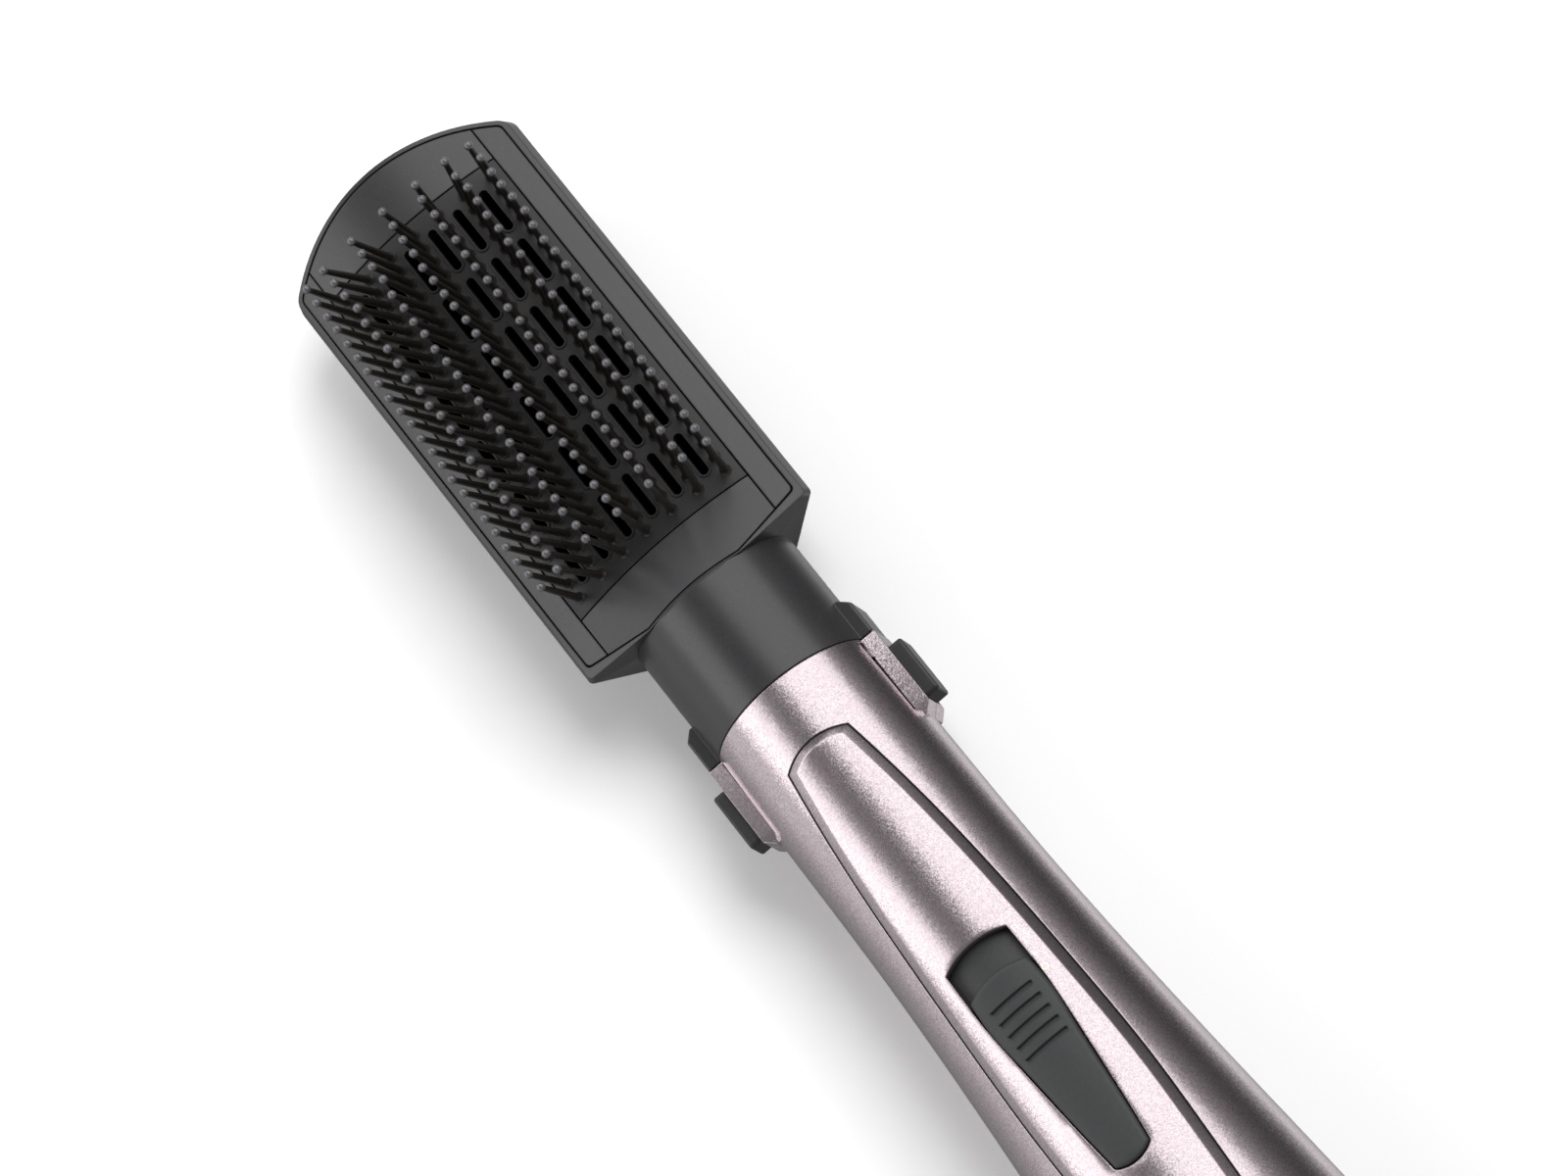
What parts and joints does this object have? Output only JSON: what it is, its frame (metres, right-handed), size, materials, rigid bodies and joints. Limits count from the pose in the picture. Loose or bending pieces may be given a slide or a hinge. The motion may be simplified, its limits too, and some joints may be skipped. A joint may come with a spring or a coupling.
{
  "type": "hot air brush",
  "caption": "Hot air brush: flared barrel handle with slide switch and side release buttons, and a detachable paddle head with rows of ball-tipped bristles.",
  "frame": {"origin": "middle of the overall box at its lowest level, which is where the barrel's rear end rests", "axes": "+Y along the barrel towards the brush head's tip, +Z towards the bristles and the switch"},
  "size_m": [0.067, 0.3852, 0.07],
  "materials": {
    "metallic_shell": "metallic pink-silver lacquer",
    "black_satin": "fine satin",
    "bristle_black": "satin",
    "pad_black": "satin",
    "switch_black": "satin",
    "inner_plastic": "moulded",
    "mica": "flaky sheet",
    "heater_wire": "oxidised",
    "steel": "machined",
    "board": "lacquered",
    "filter_mesh": "fine mesh",
    "soft_black": "matt"
  },
  "bodies": {
    "root": {"upper_shell": "metallic_shell", "lower_shell": "metallic_shell", "shell_screws": "steel", "switch_panel": "metallic_shell", "switch_body": "inner_plastic", "latch_arm_left": "inner_plastic", "latch_arm_right": "inner_plastic", "outlet_barrel": "inner_plastic", "outlet_grille": "inner_plastic", "mica_sleeve": "mica", "mica_plate_flat": "mica", "mica_plate_upright": "mica", "heater_coil": "heater_wire", "thermostat": "steel", "thermal_fuse": "steel", "motor": "steel", "motor_mount": "inner_plastic", "rectifier_board": "board", "rear_cap": "black_satin", "intake_filter": "filter_mesh", "gland_retainer": "inner_plastic"},
    "head": {"head_back_shell": "black_satin", "head_neck": "black_satin", "head_screws": "steel", "side_strip_left": "black_satin", "side_strip_right": "black_satin", "top_panel": "black_satin", "bottom_panel": "black_satin", "bristle_pad": "pad_black", "bristle_strip_1": "bristle_black", "bristle_strip_2": "bristle_black", "bristle_strip_3": "bristle_black", "bristle_strip_4": "bristle_black", "bristle_strip_5": "bristle_black", "bristle_strip_6": "bristle_black", "bristle_strip_7": "bristle_black"},
    "release_left": {"release_button_left": "switch_black"},
    "release_right": {"release_button_right": "switch_black"},
    "slider": {"switch_knob": "switch_black", "switch_sled": "switch_black"},
    "fan": {"impeller": "inner_plastic", "motor_shaft": "steel"},
    "swivel": {"cord_gland": "soft_black"}
  },
  "joints": [
    {"name": "head_pull_off", "type": "slide", "parent": "root", "child": "head", "axis": [0, 1, 0], "range_m": [0, 0.03], "deforming": ["latch_arm_left", "latch_arm_right"]},
    {"name": "release_left_press", "type": "slide", "parent": "root", "child": "release_left", "axis": [1, 0, 0], "range_m": [0, 0.0025], "stiffness_N_per_m": 600, "deforming": ["latch_arm_left"]},
    {"name": "release_right_press", "type": "slide", "parent": "root", "child": "release_right", "axis": [-1, 0, 0], "range_m": [0, 0.0025], "stiffness_N_per_m": 600, "deforming": ["latch_arm_right"]},
    {"name": "power_slide", "type": "slide", "parent": "root", "child": "slider", "axis": [0, 0.998, -0.0633], "range_m": [0, 0.0082]},
    {"name": "fan_spin", "type": "hinge", "parent": "root", "child": "fan", "pos_m": [0, -0.1366, 0.0312], "axis": [0, 1, 0], "continuous": true},
    {"name": "cord_swivel", "type": "hinge", "parent": "root", "child": "swivel", "pos_m": [0, -0.1836, 0.0312], "axis": [0, 1, 0], "continuous": true}
  ]
}
